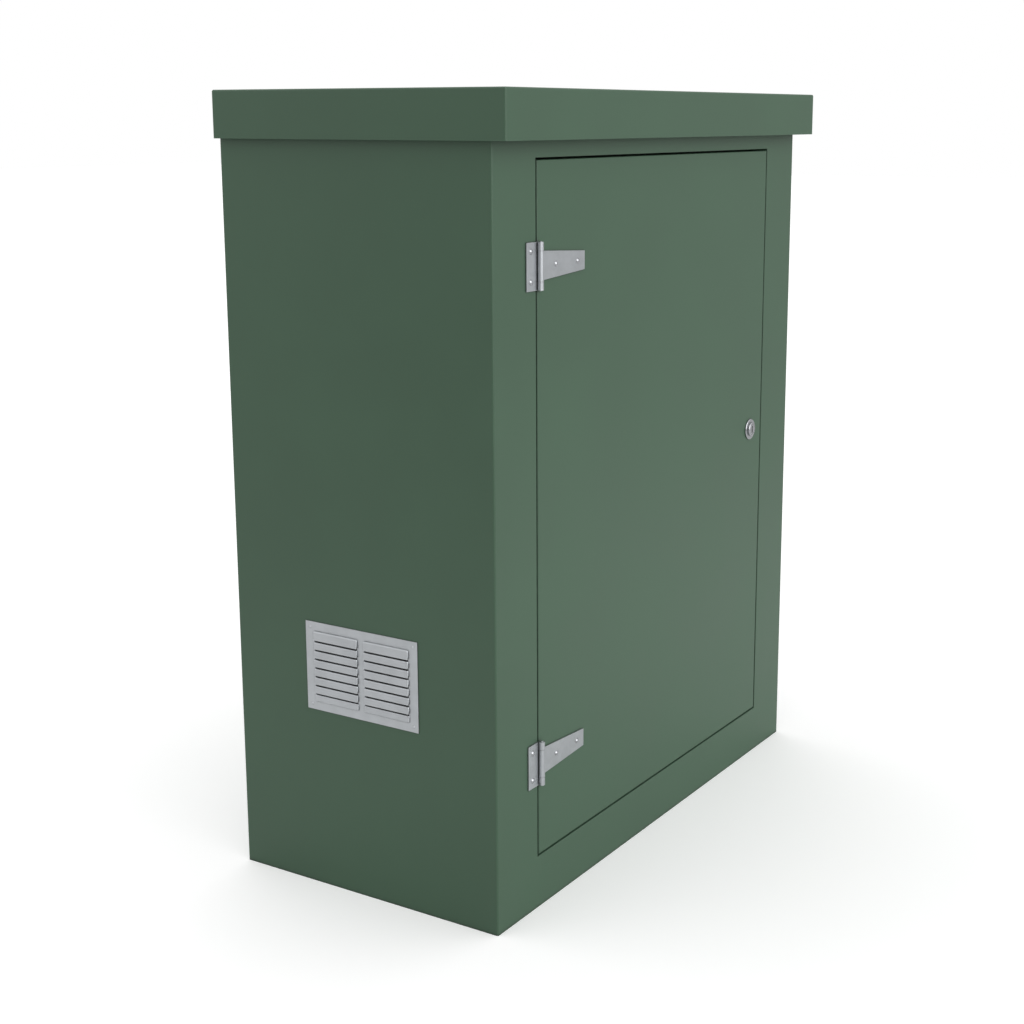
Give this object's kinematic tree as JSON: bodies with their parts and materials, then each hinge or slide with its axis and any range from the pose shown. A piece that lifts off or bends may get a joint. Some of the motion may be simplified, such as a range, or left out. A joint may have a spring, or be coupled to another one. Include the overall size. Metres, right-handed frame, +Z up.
{
  "type": "roadside utility cabinet",
  "caption": "Free-standing moulded roadside kiosk with a flat overhanging roof, a side-hung door on tee hinges, a cam lock and louvred side vents.",
  "frame": {"origin": "centre of the body's base, on the ground, at the middle of the base bolt pattern", "axes": "+Z up; +X to the right along the front, from the hinge side to the lock side; +Y from the front to the back"},
  "size_m": [1.028, 0.533, 1.25],
  "materials": {
    "green_moulding": "semi-gloss green gelcoat on glass-reinforced plastic",
    "galvanised_hinge": "satin galvanised pressed steel",
    "zinc_fastener": "bright zinc plated steel",
    "plated_lock": "satin chrome plated zinc casting",
    "vent_aluminium": "satin silver pressed aluminium",
    "seal_rubber": "matt black sponge rubber",
    "birch_ply": "sanded exterior plywood",
    "softwood": "planed softwood"
  },
  "bodies": {
    "cabinet": {"body_shell": "green_moulding", "roof_cap": "green_moulding", "roof_bolts": "zinc_fastener", "roof_washers": "zinc_fastener", "roof_nuts": "zinc_fastener", "door_seal": "seal_rubber", "upper_hinge_frame_leaf": "galvanised_hinge", "lower_hinge_frame_leaf": "galvanised_hinge", "upper_hinge_pin": "galvanised_hinge", "lower_hinge_pin": "galvanised_hinge", "hinge_frame_bolts": "zinc_fastener", "hinge_frame_washers": "zinc_fastener", "hinge_frame_nuts": "zinc_fastener", "lock_keeper": "zinc_fastener", "keeper_rivets": "zinc_fastener", "left_vent": "vent_aluminium", "right_vent": "vent_aluminium", "left_vent_rivets": "vent_aluminium", "right_vent_rivets": "vent_aluminium", "backboard": "birch_ply", "backboard_battens": "softwood", "backboard_screws": "zinc_fastener"},
    "door": {"door_panel": "green_moulding", "upper_hinge_strap": "galvanised_hinge", "lower_hinge_strap": "galvanised_hinge", "hinge_strap_bolts": "zinc_fastener", "hinge_strap_washers": "zinc_fastener", "hinge_strap_nuts": "zinc_fastener", "lock_housing": "plated_lock", "lock_nut": "plated_lock"},
    "lock": {"lock_plug": "plated_lock", "lock_cam": "zinc_fastener", "lock_cam_screw": "zinc_fastener"}
  },
  "joints": [
    {"name": "door_swing", "type": "hinge", "parent": "cabinet", "child": "door", "pos_m": [-0.3845, -0.25515, 0.61875], "axis": [0, 0, -1], "range_deg": [0, 180]},
    {"name": "lock_turn", "type": "hinge", "parent": "door", "child": "lock", "pos_m": [0.339, -0.25, 0.6438], "axis": [0, 1, 0], "range_deg": [0, 90]}
  ]
}
